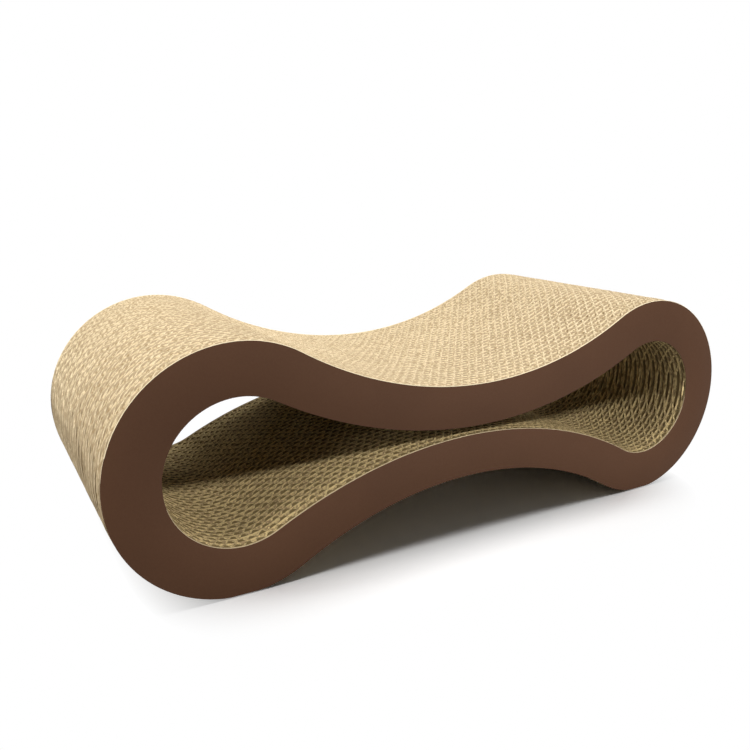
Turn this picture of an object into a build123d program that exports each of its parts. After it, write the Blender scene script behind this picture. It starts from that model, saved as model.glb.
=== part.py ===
"""Cardboard cat scratcher: a figure-eight lounge of glued corrugated rings between two thin facings.

X runs along the length, Y from the front facing to the back one, and Z up from the floor.
The origin is on the floor, under the middle of the lounge.
"""
import os

from build123d import *

# Driving dimensions, in millimetres
length = 700.0
height = 220.0
# Depth of the band round the two loops, and of each arm at the waist
end_band = 46.5
arm_band = 43.0
# Slit left between the upper and the lower arm at the waist
neck_gap = 7.0
# Width of the flat that each foot stands on
foot_flat = 30.0
# Corrugated ring sheets, counted from front to back
sheet_count = 38
sheet_thickness = 7.05
# Their liners, and how deep the flutes between them lie open at the cut edges
liner_thickness = 0.5
flute_depth = 4.0
# Facings, which stop a little short of the cut edges of the sheets
facing_thickness = 1.05
facing_setback = 0.5

# Sizes that follow from them
end_radius = (height**2 + (foot_flat / 2) ** 2) / (2 * height)
loop_radius = end_radius - end_band
end_centre = length / 2 - end_radius
middle_height = height - end_radius
waist_height = neck_gap + 2 * arm_band
core_thickness = sheet_thickness - 2 * liner_thickness
width = sheet_count * sheet_thickness + 2 * facing_thickness
stack_front = facing_thickness - width / 2


def side_plane(back):
    """Upright plane at a piece's back face, looking forward, with its origin at the middle height."""
    return Plane((0, back, middle_height), x_dir=(1, 0, 0), z_dir=(0, -1, 0))


def draw_figure_eight(round_radius, waist, mode):
    """Fill two round ends joined above and below by hollow arcs that run smoothly into them."""
    half_waist = waist / 2
    hollow_radius = (end_centre**2 + half_waist**2 - round_radius**2) / (2 * (round_radius - half_waist))
    meeting_share = round_radius / (round_radius + hollow_radius)
    meeting_x = end_centre * (1 - meeting_share)
    meeting_z = (half_waist + hollow_radius) * meeting_share
    tip_x = end_centre + round_radius
    with BuildLine() as outline:
        for side in (1, -1):
            start = (-side * meeting_x, side * meeting_z)
            corner = (side * meeting_x, side * meeting_z)
            finish = (side * meeting_x, -side * meeting_z)
            ThreePointArc(start, (0, side * half_waist), corner)
            ThreePointArc(corner, (side * tip_x, 0), finish)
    make_face(outline.edges(), mode=mode)


def draw_ring(inset):
    """Draw the band with its loops and neck open and its feet cut flat, smaller all round by the inset."""
    draw_figure_eight(end_radius - inset, waist_height - 2 * inset, Mode.ADD)
    with Locations((0, inset - middle_height)):
        Rectangle(length, end_radius, align=(Align.CENTER, Align.MAX), mode=Mode.SUBTRACT)
    draw_figure_eight(loop_radius + inset, neck_gap + 2 * inset, Mode.SUBTRACT)


def save(piece, node):
    """Label a finished piece and write it under its node's name."""
    piece.part.label = node
    export_step(piece.part, f"parts/{node}.step")


os.makedirs("parts", exist_ok=True)

# Corrugated ring sheets, each against the back of the one before
for number in range(1, sheet_count + 1):
    sheet_back = stack_front + number * sheet_thickness
    core_back = sheet_back - liner_thickness
    with BuildPart() as sheet:
        # Liners, out to the cut edges
        for liner_back in (sheet_back, core_back - core_thickness):
            with BuildSketch(side_plane(liner_back)):
                draw_ring(0)
            extrude(amount=liner_thickness)
        # Core between them, short of the cut edges but down to the floor in the feet
        with BuildSketch(side_plane(core_back)):
            draw_ring(flute_depth)
            with Locations((-end_centre, -middle_height), (end_centre, -middle_height)):
                Rectangle(foot_flat, end_band / 2, align=(Align.CENTER, Align.MIN))
        extrude(amount=core_thickness)
    save(sheet, f"sheet_{number:02d}")

# Brown facings, on the front of the first sheet and the back of the last
facing_backs = {"front_facing": stack_front, "back_facing": width / 2}
for node, facing_back in facing_backs.items():
    with BuildPart() as facing:
        with BuildSketch(side_plane(facing_back)):
            draw_ring(facing_setback)
        extrude(amount=facing_thickness)
    save(facing, node)
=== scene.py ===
"""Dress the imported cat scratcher: fluted ring sheets, printed facings, a white studio and the camera.

Everything is in metres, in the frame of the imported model: X along the length, Y from front to back
and Z up.
"""

import math
import random

import bmesh
import bpy
from bpy.props import FloatProperty, FloatVectorProperty, IntProperty, PointerProperty
from mathutils import Matrix, Vector, noise


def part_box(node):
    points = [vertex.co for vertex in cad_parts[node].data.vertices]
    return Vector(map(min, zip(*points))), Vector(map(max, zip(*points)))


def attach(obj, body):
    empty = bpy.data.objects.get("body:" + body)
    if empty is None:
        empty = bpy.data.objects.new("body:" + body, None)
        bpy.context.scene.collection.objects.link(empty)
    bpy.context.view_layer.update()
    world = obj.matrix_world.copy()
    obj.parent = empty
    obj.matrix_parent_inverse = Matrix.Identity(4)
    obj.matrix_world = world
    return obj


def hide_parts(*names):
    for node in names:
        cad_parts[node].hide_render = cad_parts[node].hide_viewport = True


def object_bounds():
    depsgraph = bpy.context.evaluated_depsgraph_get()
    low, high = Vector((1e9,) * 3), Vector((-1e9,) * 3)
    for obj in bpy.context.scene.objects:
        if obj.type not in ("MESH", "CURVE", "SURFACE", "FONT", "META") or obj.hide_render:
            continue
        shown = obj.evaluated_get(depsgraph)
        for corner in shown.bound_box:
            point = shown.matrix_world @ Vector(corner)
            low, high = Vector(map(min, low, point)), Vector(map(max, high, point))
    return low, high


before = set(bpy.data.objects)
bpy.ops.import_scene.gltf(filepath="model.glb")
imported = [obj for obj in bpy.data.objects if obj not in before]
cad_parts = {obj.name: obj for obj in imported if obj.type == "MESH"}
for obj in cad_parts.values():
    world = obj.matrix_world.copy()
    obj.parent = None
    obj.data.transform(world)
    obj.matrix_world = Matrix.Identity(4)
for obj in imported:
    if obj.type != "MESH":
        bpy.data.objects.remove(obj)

bl_info = {
    "name": "Cardboard cat scratcher",
    "version": (1, 0, 0),
    "blender": (4, 5, 0),
    "location": "3D View > Sidebar > Scratcher",
    "description": "Builds a figure-eight cat lounge of corrugated ring sheets with printed facings",
    "category": "Object",
}

CAD_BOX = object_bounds()
SHEET_NODES = sorted(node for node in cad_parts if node.startswith("sheet_"))
FACING_NODES = ("front_facing", "back_facing")
BODY = "root"

# Marks on the faces of a piece, which its material reads
MARKS = ("cut", "flute", "tint")

# Distances within which vertices are joined, at the ends of an outline and of the fluted strips
OUTLINE_JOIN = 5e-5
STRIP_JOIN = 1e-6

# How far a face's normal leans, which tells the cut edges from the flat sides and the facings' upper
# roundings, which get a painted highlight
EDGE_ON = 0.5
FLUTE_CUT = 0.02
FACING_CUT = 0.3
FACING_LIT_ROUNDING = 0.1
FACING_FLAT = 0.99
RIM_ANGLE = math.radians(60)

# Noise that spaces the flutes unevenly, in lumps a metre along a sheet and from sheet to sheet
WANDER_ALONG = 40
WANDER_ACROSS = 900

# Fineness of the noise in the papers, in lumps a metre along each axis
FIBRES = (900.0, 900.0, 160.0)
SPECKS = (360.0, 360.0, 190.0)
KRAFT_CLOUDS = (26.0, 26.0, 26.0)
PRINT_CLOUDS = (14.0, 14.0, 14.0)
PRINT_GRAIN = (900.0, 900.0, 900.0)

# Part of each noise that is stretched over none to all
FIBRE_RANGE = (0.42, 0.78)
FRAY_RANGE = (0.25, 0.60)
SPECK_RANGE = (0.45, 0.60)
KRAFT_CLOUD_RANGE = (0.35, 0.75)
PRINT_CLOUD_RANGE = (0.3, 0.7)
PRINT_GRAIN_RANGE = (0.35, 0.7)

# Relief and gloss of both papers
PAPER_RELIEF = 0.0002
PAPER_GLOSS = 0.15

# Studio floor, with the patch round the lounge that keeps its shadow
WHITE = (1.0, 1.0, 1.0, 1.0)
FLOOR_REACH = 6.0
FLOOR_GAP = 0.0002
SHADOW_HALF_LENGTH = 0.27
SHADOW_HALF_WIDTH = 0.19
SHADOW_SQUARENESS = 4.0
SHADOW_FADE = (0.9, 1.2)

# Name, place and width of each softbox, and the setting with its power
SOFTBOXES = (
    ("overhead_softbox", (-0.2, -0.07, 1.5), 0.7, "overhead"),
    ("front_key", (-0.127, -4.18, 3.84), 0.55, "front_key"),
    ("side_softbox", (-1.0, -0.2, 0.33), 0.5, "side_fill"),
    ("back_softbox", (1.2, 0.8, 1.3), 0.8, "back_fill"),
    ("low_softbox", (0.3, -0.8, 0.12), 0.2, "low_fill"),
    ("rear_softbox", (-0.45, 0.75, 0.8), 0.3, "rear_fill"),
)
FLOOR_LAMP = "overhead_softbox"


# Settings that a user would change


def size(name, description, default):
    """A length in metres."""
    return FloatProperty(name=name, description=description, default=default, unit="LENGTH", precision=5)


def share(name, description, default):
    """A plain number between none and all."""
    return FloatProperty(
        name=name, description=description, default=default, min=0.0, max=1.0, subtype="FACTOR"
    )


def count(name, description, default, least):
    """A whole number."""
    return IntProperty(name=name, description=description, default=default, min=least)


def watts(name, description, default):
    """The power of a lamp."""
    return FloatProperty(name=name, description=description, default=default, unit="POWER")


def degrees(name, description, default):
    """An angle, given in degrees."""
    return FloatProperty(
        name=name, description=description, default=math.radians(default), subtype="ANGLE", unit="ROTATION"
    )


def colour(name, description, default, brightest=1.0):
    """A linear colour."""
    return FloatVectorProperty(
        name=name, description=description, default=default, size=3, subtype="COLOR", soft_max=brightest
    )


class BandSizes(bpy.types.PropertyGroup):
    """Side outline of the band, which every sheet and facing follows."""

    end_band: size("End band", "Depth of the band round the two loops", 0.0465)
    arm_band: size("Arm band", "Depth of each arm at the waist", 0.043)
    neck_gap: size("Neck gap", "Slit between the two arms at the waist", 0.007)
    foot_flat: size("Foot flat", "Width of the flat that each foot stands on", 0.030)
    tip_gap: size("Tip gap", "How far the fluting stays behind the tips of the band", 0.0002)
    end_steps: count("End steps", "Edges round each end", 72, 12)
    hollow_steps: count("Hollow steps", "Edges along half of each hollow", 24, 6)


class BoardSizes(bpy.types.PropertyGroup):
    """Make-up of the corrugated board."""

    flute_pitch: size("Flute pitch", "Distance from one flute to the next", 0.0095)
    flute_steps: count("Flute steps", "Edges along one flute", 12, 6)
    liner: size("Liner", "Thickness of each flat liner, with its frayed edge", 0.0009)
    fluting: size("Fluting", "Thickness of the fluted paper, with its frayed edge", 0.0016)
    lean: share("Lean", "How far the flute walls lean, from upright to a plain wave", 0.5)
    glue_gap: size("Glue gap", "Room left between glued sheets", 0.00004)
    turned: share("Turned", "Flute shift of every other sheet, laid turned over, in pitches", 0.5)
    creep: share("Creep", "Steady flute shift from sheet to sheet, in pitches", 0.052)
    drift: share("Drift", "Spread of the flute shift from sheet to sheet, in pitches", 0.025)
    wander: share("Wander", "Uneven spacing of the flutes along a sheet, in pitches", 0.08)
    fray: size("Fray", "Ragged height of the cut fluting", 0.0003)
    drop: size("Drop", "How far the liners lie below the fluting at the cut surface", 0.0005)
    uneven: size("Uneven", "How far a sheet may lie behind the cut surface", 0.0003)
    tint: share("Tint", "How much darker than the palest a sheet may be", 0.18)
    seed: count("Seed", "Start of the random draws", 7, 0)


class FacingSizes(bpy.types.PropertyGroup):
    """Printed facings."""

    setback: size("Setback", "How far a facing stops short of the cut edges of the sheets", 0.0005)
    edge_round: size("Edge round", "Rounding of the facing's cut edges", 0.00045)


class Finishes(bpy.types.PropertyGroup):
    """Colours of the papers and of the floor, and where the papers change; the outer and inner copies of
    the paper colours and the darkening with depth are painted light and shade.
    """

    kraft: colour("Kraft", "Paper of the liners and the fluting", (0.64, 0.49, 0.235))
    # Painted light and shade: the paper near the outer cut surface is a paler copy of kraft that stands in
    # for the light there, and kraft is the darker copy for the shaded insides of the loops.
    kraft_worn: colour("Lit outside kraft", "Paper near the outer cut surface", (0.68, 0.55, 0.345))
    kraft_dark: colour("Dark fibres", "Darker fibres in the paper", (0.32, 0.225, 0.115))
    # Painted shade: the colours that the flutes darken to with their depth behind the cut surface, paler
    # on the lit outer surface and nearly black inside the loops.
    pit_outside: colour("Outer pit shade", "Paper in the flutes of the outer cut surface", (0.42, 0.32, 0.195))
    pit_inside: colour("Inner pit shade", "Paper in the flutes inside the loops", (0.165, 0.117, 0.051))
    # Painted shade: the frayed edges inside the loops take a more saturated copy of the cut-edge colour
    # that stands in for the shade there.
    cut_edge: colour("Cut edge", "Frayed edges of the outer cut surface", (0.71, 0.587, 0.385))
    cut_inside: colour("Cut edge in shade", "Frayed edges inside the loops", (0.76, 0.592, 0.295))
    brown: colour("Brown print", "Printed brown of the facings", (0.0751, 0.0336, 0.0162))
    brown_dark: colour("Dark print", "Darker mottling of the print", (0.0640, 0.0283, 0.0137))
    # Painted shade: the facings' raw edges inside the loops take the darker copy of the raw-edge colour.
    raw_edge: colour("Raw edge", "Unprinted outer cut edge of the facings", (0.74, 0.62, 0.42))
    raw_inside: colour("Raw edge in shade", "Unprinted cut edge inside the loops", (0.44, 0.35, 0.22))
    # Painted light: the paler outer copies of the colours reach this far in from the outer cut surface,
    # and the shaded copies take over beyond it.
    worn_depth: size("Lit outside depth", "How far the worn paper goes in from the outer cut surface", 0.02)
    # Painted shade: the papers darken with their depth behind the cut surface, and the fluting's walls
    # sooner and further, as shade falls into the flutes.
    shade_start: size("Shade start", "Depth behind the cut surface where the papers darken", 0.0010)
    shade_end: size("Shade end", "Depth behind the cut surface where the papers are darkest", 0.0060)
    pit_start: size("Pit start", "Depth behind the cut surface where the flutes darken", 0.00005)
    pit_end: size("Pit end", "Depth behind the cut surface where the flutes are darkest", 0.0004)
    shade: share("Shade", "How much the papers darken with their depth", 0.6)
    fibre_dark: share("Fibres", "How much the fibres darken the paper", 0.3)
    cloud_dark: share("Clouds", "How much the soft clouds darken the paper", 0.2)
    speck_dark: share("Specks", "How much the specks darken the paper", 0.75)
    speck_bare: share("Bare specks", "How much of the frayed edges the specks take away", 0.85)
    floor: colour("Floor", "Studio floor, as it lights the lounge", (0.56, 0.56, 0.56))
    floor_seen: colour("Floor seen", "Studio floor, as the camera sees it", (1.56, 1.56, 1.56), 2.0)


class Studio(bpy.types.PropertyGroup):
    """Camera and lights."""

    camera_place: FloatVectorProperty(
        name="Camera place", description="Where the camera stands", default=(-0.43018, -0.67393, 0.33790),
        size=3, subtype="TRANSLATION", unit="LENGTH",
    )
    camera_turn: degrees("Camera turn", "How far the camera looks to the right of the back", 30.223)
    camera_dip: degrees("Camera dip", "How far the camera looks down", 14.424)
    camera_roll: degrees("Camera roll", "How far the camera leans", 0.769)
    lens: FloatProperty(
        name="Lens", description="Focal length on a 36 mm sensor", default=35.574, unit="CAMERA"
    )
    overhead: watts("Overhead", "Power of the overhead softbox", 15.0)
    front_key: watts("Front key", "Power of the front lamp", 178.0)
    side_fill: watts("Side fill", "Power of the left softbox", 4.4)
    back_fill: watts("Back fill", "Power of the back softbox", 25.0)
    low_fill: watts("Low fill", "Power of the low front softbox", 2.6)
    rear_fill: watts("Rear fill", "Power of the rear softbox", 0.65)
    ambient: share("Ambient", "Even light from all round", 0.05)


class Scratcher(bpy.types.PropertyGroup):
    """All settings of the lounge."""

    band: PointerProperty(type=BandSizes)
    board: PointerProperty(type=BoardSizes)
    facing: PointerProperty(type=FacingSizes)
    finish: PointerProperty(type=Finishes)
    studio: PointerProperty(type=Studio)


# Shader maths


class Wire:
    """One output of a node, which adds Math nodes when it is used in an expression."""

    def __init__(self, graph, socket):
        self.graph = graph
        self.socket = socket

    def of(self, output):
        """Another output of the same node."""
        return Wire(self.graph, self.socket.node.outputs[output])

    def maths(self, operation, *values):
        """The result of a Math node."""
        return self.graph.node("ShaderNodeMath", {"operation": operation}, dict(enumerate(values)))

    def __add__(self, other):
        return self.maths("ADD", self, other)

    def __sub__(self, other):
        return self.maths("SUBTRACT", self, other)

    def __rsub__(self, other):
        return self.maths("SUBTRACT", other, self)

    def __mul__(self, other):
        return self.maths("MULTIPLY", self, other)

    def __truediv__(self, other):
        return self.maths("DIVIDE", self, other)

    def __rtruediv__(self, other):
        return self.maths("DIVIDE", other, self)

    def __pow__(self, other):
        return self.maths("POWER", self, other)

    def __rpow__(self, other):
        return self.maths("POWER", other, self)

    __radd__ = __add__
    __rmul__ = __mul__


class Graph:
    """Node tree of one material or of the world."""

    def __init__(self, owner):
        owner.use_nodes = True
        self.tree = owner.node_tree
        self.tree.nodes.clear()

    def node(self, kind, settings=None, sockets=None, output=0):
        """Add a node with its settings, then the values or links of its sockets, and return an output."""
        made = self.tree.nodes.new(kind)
        for name, value in (settings or {}).items():
            setattr(made, name, value)
        for name, value in (sockets or {}).items():
            socket = made.inputs[name]
            if isinstance(value, Wire):
                self.tree.links.new(value.socket, socket)
            else:
                socket.default_value = value
        return Wire(self, made.outputs[output]) if len(made.outputs) else None

    def mix(self, factor, first, second):
        """Blend two colours."""
        settings = {"data_type": "RGBA", "clamp_factor": True}
        return self.node("ShaderNodeMix", settings, {0: factor, 6: first, 7: second}, output=2)

    def spread(self, wire, low, high):
        """None where a value is at the low end, all where it is at the high end, and even between them."""
        sockets = {"Value": wire, "From Min": low, "From Max": high}
        return self.node("ShaderNodeMapRange", {"clamp": True}, sockets)

    def noise(self, place, fineness, detail):
        """Noise with its own fineness along each axis."""
        stretched = self.node("ShaderNodeMapping", None, {"Vector": place, "Scale": fineness})
        sockets = {"Vector": stretched, "Scale": 1.0, "Detail": detail}
        return self.node("ShaderNodeTexNoise", None, sockets)

    def mark(self, name):
        """A mark on the faces of the piece."""
        return self.node("ShaderNodeAttribute", {"attribute_name": name}, output="Fac")

    def matt_paper(self, shade, roughness, height, strength):
        """Close a material as matt paper with a fine relief."""
        relief = {"Strength": strength, "Distance": PAPER_RELIEF, "Height": height}
        bump = self.node("ShaderNodeBump", None, relief, output="Normal")
        sockets = {"Base Color": shade, "Roughness": roughness, "Normal": bump}
        sockets["Specular IOR Level"] = PAPER_GLOSS
        shader = self.node("ShaderNodeBsdfPrincipled", None, sockets)
        self.node("ShaderNodeOutputMaterial", None, {"Surface": shader})


def solid(shade):
    """A colour with full alpha, as colour sockets take it."""
    return (*shade, 1.0)


def seen_directly(graph):
    """All for a ray from the camera, a gloss or a clear piece, which shows the studio, and none else."""
    path = graph.node("ShaderNodeLightPath", output="Is Camera Ray")
    seen = path.maths("MAXIMUM", path, path.of("Is Glossy Ray"))
    return seen.maths("MAXIMUM", seen, path.of("Is Transmission Ray"))


def depth_inside(graph, place, middle, outline):
    """How deep a point lies inside an outline of the band, in metres."""
    axes = graph.node("ShaderNodeSeparateXYZ", None, {"Vector": place}, output="X")
    x = axes.maths("ABSOLUTE", axes)
    z = axes.of("Z") - middle
    z = z.maths("ABSOLUTE", z)
    top = outline.half_waist + outline.hollow
    to_end = ((x - outline.centre) ** 2.0 + z**2.0) ** 0.5
    to_hollow = (x**2.0 + (top - z) ** 2.0) ** 0.5
    lean = x / outline.centre + z / top
    hollow_side = lean.maths("LESS_THAN", lean, 1.0)
    in_hollow = (to_hollow - outline.hollow) * hollow_side
    in_end = (outline.radius - to_end) * (1.0 - hollow_side)
    return in_hollow + in_end


def kraft_board(finish, band):
    """Kraft paper with fibres along the flutes, a tint for each sheet and pale cut edges, with painted
    shade darkening its depths and flutes, and paler painted-light copies of its colours on the outer
    surface.
    """
    material = bpy.data.materials.new("kraft_board")
    graph = Graph(material)
    place = graph.node("ShaderNodeTexCoord", output="Object")
    fibres = graph.noise(place, FIBRES, 3.0)
    clouds = graph.noise(place, KRAFT_CLOUDS, 2.0)
    specks = graph.spread(graph.noise(place, SPECKS, 1.0), *SPECK_RANGE)
    cut, flute, tint = (graph.mark(name) for name in MARKS)
    outer = depth_inside(graph, place, band.middle, band.outer)
    inner = depth_inside(graph, place, band.middle, band.inner) * -1.0
    depth = outer.maths("MINIMUM", outer, inner)
    # Painted light and shade: none at the lit outer cut surface and all deep inside the loops, where the
    # shaded copies of the colours are used.
    inner_shade = graph.spread(outer, 0.0, finish.worn_depth)
    # Painted shade in the depths and the flutes, darker with depth behind the cut surface.
    shaded = graph.spread(depth, finish.shade_start, finish.shade_end) * finish.shade
    flute_shade = graph.spread(depth, finish.pit_start, finish.pit_end) * flute
    deep = shaded.maths("MAXIMUM", shaded, flute_shade)
    dark = graph.spread(fibres, *FIBRE_RANGE) * finish.fibre_dark
    dark = dark + graph.spread(clouds, *KRAFT_CLOUD_RANGE) * finish.cloud_dark
    dark = dark + specks * finish.speck_dark + tint
    frayed = graph.spread(fibres, *FRAY_RANGE) * cut * (1.0 - specks * finish.speck_bare)
    paper = graph.mix(inner_shade, solid(finish.kraft_worn), solid(finish.kraft))
    paper = graph.mix(dark, paper, solid(finish.kraft_dark))
    pit_shade = graph.mix(inner_shade, solid(finish.pit_outside), solid(finish.pit_inside))
    paper = graph.mix(deep, paper, pit_shade)
    edge = graph.mix(inner_shade, solid(finish.cut_edge), solid(finish.cut_inside))
    paper = graph.mix(frayed, paper, edge)
    graph.matt_paper(paper, roughness=0.92, height=fibres, strength=0.35)
    return material


def brown_print(finish, band, pitch):
    """Matt brown print, faintly mottled and ribbed by the flutes behind it, with raw cut edges, a painted
    highlight on the upper roundings and raw edges darkened as painted shade inside the loops.
    """
    material = bpy.data.materials.new("brown_print")
    graph = Graph(material)
    place = graph.node("ShaderNodeTexCoord", output="Object")
    clouds = graph.noise(place, PRINT_CLOUDS, 4.0)
    grain = graph.noise(place, PRINT_GRAIN, 2.0)
    mottle = graph.spread(clouds, *PRINT_CLOUD_RANGE) * 0.6 + graph.spread(grain, *PRINT_GRAIN_RANGE) * 0.4
    ink = graph.mix(mottle, solid(finish.brown), solid(finish.brown_dark))
    # Painted shade: the raw edges inside the loops darken to their shaded copy.
    inner_shade = graph.spread(depth_inside(graph, place, band.middle, band.outer), 0.0, finish.worn_depth)
    raw = graph.mix(inner_shade, solid(finish.raw_edge), solid(finish.raw_inside))
    paper = graph.mix(graph.mark("cut"), ink, raw)
    rough = 0.62 + grain * 0.16
    across = graph.node("ShaderNodeSeparateXYZ", None, {"Vector": place}, output="X")
    turn = across * (2 * math.pi / pitch)
    ribs = turn.maths("SINE", turn)
    graph.matt_paper(paper, roughness=rough, height=ribs * 0.25 + grain * 0.5, strength=0.12)
    return material


def white_floor(finish):
    """A floor that looks white and keeps the shadow in a patch round the lounge."""
    material = bpy.data.materials.new("studio_floor")
    graph = Graph(material)
    place = graph.node("ShaderNodeTexCoord", output="Object")
    axes = graph.node("ShaderNodeSeparateXYZ", None, {"Vector": place}, output="X")
    along = (axes / SHADOW_HALF_LENGTH) ** SHADOW_SQUARENESS
    across = (axes.of("Y") / SHADOW_HALF_WIDTH) ** SHADOW_SQUARENESS
    reach = (along + across) ** (1.0 / SHADOW_SQUARENESS)
    seen = seen_directly(graph)
    far = graph.spread(reach, *SHADOW_FADE) * seen
    shade = graph.mix(seen, solid(finish.floor), solid(finish.floor_seen))
    lit = graph.node("ShaderNodeBsdfDiffuse", None, {"Color": shade})
    white = graph.node("ShaderNodeEmission", None, {"Color": WHITE, "Strength": 1.0})
    shader = graph.node("ShaderNodeMixShader", None, {0: far, 1: lit, 2: white})
    graph.node("ShaderNodeOutputMaterial", None, {"Surface": shader})
    return material


# The band's outline


class FigureEight:
    """Two round ends joined above and below by hollow arcs that run smoothly into them."""

    def __init__(self, centre, radius, waist):
        self.centre = centre
        self.radius = radius
        self.half_waist = waist / 2
        reach = centre**2 + self.half_waist**2 - radius**2
        self.hollow = reach / (2 * (radius - self.half_waist))
        self.lean = math.atan2(centre, self.half_waist + self.hollow)
        self.meeting = self.hollow * math.sin(self.lean)

    def rise(self, x):
        """Height of the outline above its middle line."""
        if abs(x) <= self.meeting:
            return self.half_waist + self.hollow - math.sqrt(self.hollow**2 - x**2)
        return math.sqrt(max(self.radius**2 - (abs(x) - self.centre) ** 2, 0.0))

    def trace(self, bm, y, middle, settings):
        """Draw the outline as a closed line by spinning one vertex round each arc's centre in turn."""
        above = Vector((0, y, middle + self.half_waist + self.hollow))
        below = Vector((0, y, middle - self.half_waist - self.hollow))
        right = Vector((self.centre, y, middle))
        left = Vector((-self.centre, y, middle))
        round_end = math.pi + 2 * self.lean
        arcs = (
            (above, -self.lean, settings.hollow_steps),
            (right, round_end, settings.end_steps),
            (below, -2 * self.lean, 2 * settings.hollow_steps),
            (left, round_end, settings.end_steps),
            (above, -self.lean, settings.hollow_steps),
        )
        tip = bm.verts.new((0, y, middle + self.half_waist))
        drawn = [tip]
        for centre, angle, steps in arcs:
            before = set(bm.verts)
            spun = bmesh.ops.spin(
                bm, geom=[tip], cent=centre, axis=(0, 1, 0), angle=angle, steps=steps, use_duplicate=False
            )
            tip = next(part for part in spun["geom_last"] if isinstance(part, bmesh.types.BMVert))
            drawn += [vert for vert in bm.verts if vert not in before]
        bmesh.ops.remove_doubles(bm, verts=[drawn[0], tip], dist=OUTLINE_JOIN)
        return list({edge for vert in drawn if vert.is_valid for edge in vert.link_edges})


class Band:
    """The outer and inner outlines of a ring, smaller all round by an inset."""

    def __init__(self, settings, inset=0.0):
        low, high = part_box(SHEET_NODES[0])
        height = high.z - low.z
        end_radius = (height**2 + (settings.foot_flat / 2) ** 2) / (2 * height)
        loop_radius = end_radius - settings.end_band
        centre = high.x - end_radius
        waist = settings.neck_gap + 2 * settings.arm_band
        self.settings = settings
        self.middle = high.z - end_radius
        self.tip = high.x - inset
        self.floor = low.z + inset
        self.outer = FigureEight(centre, end_radius - inset, waist - 2 * inset)
        self.inner = FigureEight(centre, loop_radius + inset, settings.neck_gap + 2 * inset)

    def hold(self, vert):
        """Bring a vertex that thickening has pushed out back between the outlines."""
        end = self.tip - self.settings.tip_gap
        vert.co.x = max(-end, min(end, vert.co.x))
        rise = vert.co.z - self.middle
        held = min(max(abs(rise), self.inner.rise(vert.co.x)), self.outer.rise(vert.co.x))
        vert.co.z = max(self.middle + math.copysign(held, rise), self.floor)

    def ring(self, bm, front, thickness):
        """Add a flat ring of board between its outlines, and return its faces."""
        outer = self.outer.trace(bm, front, self.middle, self.settings)
        inner = self.inner.trace(bm, front, self.middle, self.settings)
        bridged = bmesh.ops.bridge_loops(bm, edges=outer + inner)
        grown = bmesh.ops.extrude_face_region(bm, geom=bridged["faces"])
        backs = [part for part in grown["geom"] if isinstance(part, bmesh.types.BMVert)]
        bmesh.ops.translate(bm, verts=backs, vec=(0, thickness, 0))
        fronts = [vert for face in bridged["faces"] for vert in face.verts]
        for vert in {*fronts, *backs}:
            vert.co.z = max(vert.co.z, self.floor)
        return list({face for vert in {*fronts, *backs} for face in vert.link_faces})


# Pieces


def add_object(name, data):
    """Put an object with this data into the scene."""
    made = bpy.data.objects.new(name, data)
    bpy.context.scene.collection.objects.link(made)
    return made


def start_piece():
    """An empty bmesh with its marks, made first because a new mark makes earlier faces unknown."""
    bm = bmesh.new()
    for mark in MARKS:
        bm.faces.layers.float.new(mark)
    return bm


def finish_piece(bm, name, node, material, cut_faces, flute_faces=(), tint=0.0):
    """Turn a bmesh into a piece that stands for a node, with its cut edges, fluting and tint marked."""
    bmesh.ops.recalc_face_normals(bm, faces=bm.faces)
    cut, flute, tints = (bm.faces.layers.float[mark] for mark in MARKS)
    for face in bm.faces:
        face[cut] = 1.0 if face in cut_faces else 0.0
        face[flute] = 1.0 if face in flute_faces else 0.0
        face[tints] = tint
        face.smooth = face not in cut_faces
    mesh = bpy.data.meshes.new(name)
    bm.to_mesh(mesh)
    bm.free()
    mesh.materials.append(material)
    piece = add_object(name, mesh)
    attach(piece, BODY)
    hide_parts(node)


def add_fluting(bm, band, board, front, back, shift, rng):
    """Add the fluted paper between two liners: an upper and a lower strip that join in the end walls."""
    swing = (back - front - board.fluting) / 2
    centre_line = (front + back) / 2
    step = board.flute_pitch / board.flute_steps
    stations = int((2 * band.tip) / step)
    before = set(bm.faces)
    for side in (1, -1):
        strip = bmesh.ops.create_grid(bm, x_segments=stations, y_segments=1, size=0.5)["verts"]
        for vert in strip:
            x = vert.co.x * stations * step
            outer = side * band.outer.rise(x) - side * rng.uniform(0, board.fray)
            inner = side * band.inner.rise(x)
            inner += side * rng.uniform(0, board.fray) if inner else 0.0
            wander = board.wander * noise.noise((x * WANDER_ALONG, front * WANDER_ACROSS, 0))
            turn = 2 * math.pi * (x / board.flute_pitch - shift + wander)
            z = band.middle + (outer if vert.co.y > 0 else inner)
            wave = math.sin(turn)
            wave *= math.hypot(1.0, board.lean) / math.hypot(wave, board.lean)
            vert.co = (x, centre_line + swing * wave, max(z, band.floor))
    made = [face for face in bm.faces if face not in before]
    ends = list({vert for face in made for vert in face.verts})
    bmesh.ops.remove_doubles(bm, verts=ends, dist=STRIP_JOIN)
    made = [face for face in bm.faces if face not in before]
    bmesh.ops.recalc_face_normals(bm, faces=made)
    bmesh.ops.solidify(bm, geom=made, thickness=board.fluting)
    walls = [face for face in bm.faces if face not in before]
    paper = list({vert for face in walls for vert in face.verts})
    depths = [vert.co.y for vert in paper]
    off_centre = (min(depths) + max(depths)) / 2 - centre_line
    bmesh.ops.translate(bm, verts=paper, vec=(0, -off_centre, 0))
    for vert in paper:
        band.hold(vert)
    return walls


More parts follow.
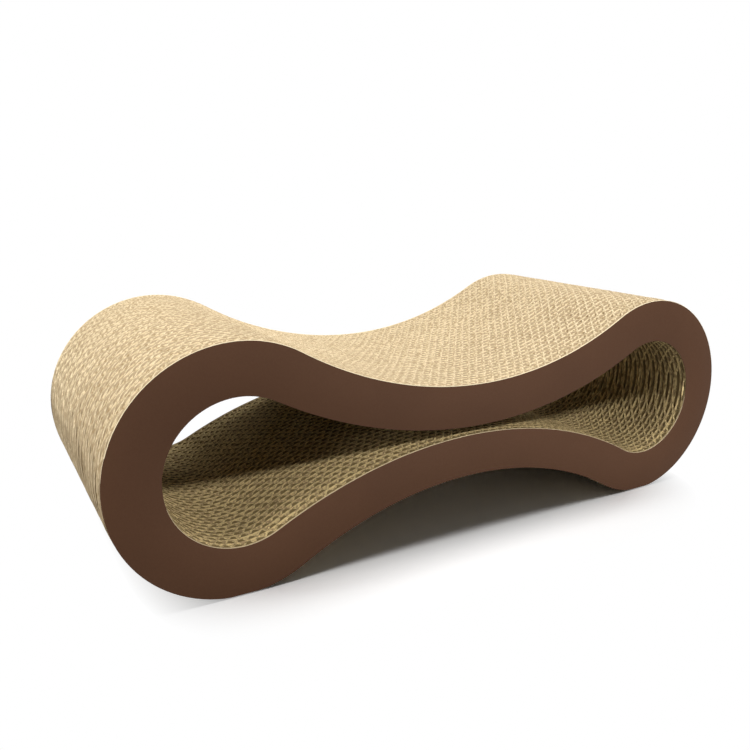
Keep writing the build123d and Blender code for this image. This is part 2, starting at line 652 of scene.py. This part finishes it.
class SCRATCHER_OT_sheets(bpy.types.Operator):
    """Build the corrugated ring sheets, each of two liners with a fluted paper between them"""

    bl_idname = "scratcher.sheets"
    bl_label = "Corrugated sheets"

    def execute(self, context):
        settings = context.scene.scratcher
        board = settings.board
        material = kraft_board(settings.finish, Band(settings.band))
        rng = random.Random(board.seed)
        shift = 0.0
        for number, node in enumerate(SHEET_NODES):
            low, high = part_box(node)
            front = low.y + board.glue_gap / 2
            back = high.y - board.glue_gap / 2
            outermost = number in (0, len(SHEET_NODES) - 1)
            inset = settings.facing.setback if outermost else rng.uniform(0, board.uneven)
            band = Band(settings.band, inset)
            liner_band = Band(settings.band, inset + board.drop)
            bm = start_piece()
            cut_faces = set()
            for liner_front in (front, back - board.liner):
                faces = liner_band.ring(bm, liner_front, board.liner)
                bm.normal_update()
                cut_faces.update(face for face in faces if abs(face.normal.y) < EDGE_ON)
            shift += rng.gauss(board.creep, board.drift)
            turned = shift + board.turned * (number % 2)
            walls = add_fluting(bm, band, board, front + board.liner, back - board.liner, turned, rng)
            bm.normal_update()
            cut_faces.update(face for face in walls if abs(face.normal.z) > FLUTE_CUT)
            tint = rng.uniform(0.0, board.tint)
            name = node.replace("sheet", "corrugated_sheet")
            finish_piece(bm, name, node, material, cut_faces, set(walls), tint)
        return {"FINISHED"}


class SCRATCHER_OT_facings(bpy.types.Operator):
    """Build the printed facings on the front and the back"""

    bl_idname = "scratcher.facings"
    bl_label = "Printed facings"

    def execute(self, context):
        settings = context.scene.scratcher
        facing = settings.facing
        material = brown_print(settings.finish, Band(settings.band), settings.board.flute_pitch)
        band = Band(settings.band, facing.setback)
        for node in FACING_NODES:
            low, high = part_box(node)
            bm = start_piece()
            faces = band.ring(bm, low.y, high.y - low.y)
            bm.normal_update()
            rims = {edge for face in faces if abs(face.normal.y) > EDGE_ON for edge in face.edges}
            rims = [edge for edge in rims if edge.calc_face_angle(0.0) > RIM_ANGLE]
            bmesh.ops.bevel(
                bm, geom=rims, offset=facing.edge_round, offset_type="OFFSET", segments=2, profile=0.5,
                affect="EDGES", material=-1,
            )
            bmesh.ops.recalc_face_normals(bm, faces=bm.faces)
            # Cut edges show real raw board; the pale upper roundings are a painted highlight.
            cut_faces = {face for face in bm.faces if self.is_cut(face.normal)}
            finish_piece(bm, f"{node}_board", node, material, cut_faces)
        return {"FINISHED"}

    def is_cut(self, normal):
        """Whether a face shows pale raw board: all that faces along the edges, and the upper roundings,
        where the pale colour is a painted highlight.
        """
        upper = normal.z > FACING_LIT_ROUNDING and abs(normal.y) < FACING_FLAT
        return upper or abs(normal.y) < FACING_CUT


class SCRATCHER_OT_stage(bpy.types.Operator):
    """Set up the white floor, the softboxes and the camera"""

    bl_idname = "scratcher.stage"
    bl_label = "Studio"

    def execute(self, context):
        settings = context.scene.scratcher
        floor = self.floor(settings.finish)
        self.world(context.scene, settings.studio)
        for name, place, width, power in SOFTBOXES:
            lamp = self.softbox(name, place, width, getattr(settings.studio, power))
            if name != FLOOR_LAMP:
                self.spare(lamp, floor)
        self.camera(context.scene, settings.studio)
        context.scene.view_settings.view_transform = "Standard"
        return {"FINISHED"}

    def floor(self, finish):
        """A wide floor just below the feet."""
        bm = bmesh.new()
        bmesh.ops.create_grid(bm, x_segments=1, y_segments=1, size=FLOOR_REACH)
        bmesh.ops.translate(bm, verts=bm.verts, vec=(0, 0, CAD_BOX[0].z - FLOOR_GAP))
        mesh = bpy.data.meshes.new("studio_floor")
        bm.to_mesh(mesh)
        bm.free()
        mesh.materials.append(white_floor(finish))
        floor = add_object("studio_floor", mesh)
        return floor

    def world(self, scene, studio):
        """Even light from all round, white where it is seen."""
        scene.world = bpy.data.worlds.new("studio")
        graph = Graph(scene.world)
        strength = seen_directly(graph) * (1.0 - studio.ambient) + studio.ambient
        light = graph.node("ShaderNodeBackground", None, {"Color": WHITE, "Strength": strength})
        graph.node("ShaderNodeOutputWorld", None, {"Surface": light})

    def softbox(self, name, place, width, power):
        """A square softbox aimed at the middle of the lounge."""
        lamp = bpy.data.lights.new(name, "AREA")
        lamp.size = width
        lamp.energy = power
        holder = add_object(name, lamp)
        holder.location = place
        holder.visible_camera = False
        aim = Vector((0, 0, CAD_BOX[1].z / 2)) - Vector(place)
        holder.rotation_euler = aim.to_track_quat("-Z", "Y").to_euler()
        return holder

    def spare(self, lamp, floor):
        """Keep a lamp off the floor, so that it doesn't light up the shadow."""
        group = bpy.data.collections.new(f"{lamp.name}_receivers")
        group.objects.link(floor)
        group.collection_objects[0].light_linking.link_state = "EXCLUDE"
        lamp.light_linking.receiver_collection = group

    def camera(self, scene, studio):
        """The photographer's place in front of the left end."""
        lens = bpy.data.cameras.new("camera")
        lens.lens = studio.lens
        lens.sensor_width = 36.0
        lens.clip_start = 0.01
        holder = add_object("camera", lens)
        turn = Matrix.Rotation(-studio.camera_turn, 4, "Z")
        dip = Matrix.Rotation(math.pi / 2 - studio.camera_dip, 4, "X")
        roll = Matrix.Rotation(studio.camera_roll, 4, "Z")
        holder.matrix_world = Matrix.Translation(studio.camera_place) @ turn @ dip @ roll
        scene.camera = holder


class VIEW3D_PT_scratcher(bpy.types.Panel):
    """Buttons and settings of the lounge."""

    bl_label = "Cardboard cat scratcher"
    bl_space_type = "VIEW_3D"
    bl_region_type = "UI"
    bl_category = "Scratcher"

    def draw(self, context):
        for operator in OPERATORS:
            self.layout.operator(operator.bl_idname)
        for group in Scratcher.__annotations__:
            column = self.layout.column(heading=group.title())
            settings = getattr(context.scene.scratcher, group)
            for name in settings.__annotations__:
                column.prop(settings, name)


GROUPS = (BandSizes, BoardSizes, FacingSizes, Finishes, Studio, Scratcher)
OPERATORS = (SCRATCHER_OT_sheets, SCRATCHER_OT_facings, SCRATCHER_OT_stage)
CLASSES = (*GROUPS, *OPERATORS, VIEW3D_PT_scratcher)


def register():
    """Make the settings, operators and panel known."""
    for each in CLASSES:
        bpy.utils.register_class(each)
    bpy.types.Scene.scratcher = PointerProperty(type=Scratcher)


def unregister():
    """Take them out again."""
    del bpy.types.Scene.scratcher
    for each in reversed(CLASSES):
        bpy.utils.unregister_class(each)


def main():
    """Build the lounge and its studio."""
    register()
    bpy.ops.scratcher.sheets()
    bpy.ops.scratcher.facings()
    bpy.ops.scratcher.stage()


if __name__ == "__main__":
    main()
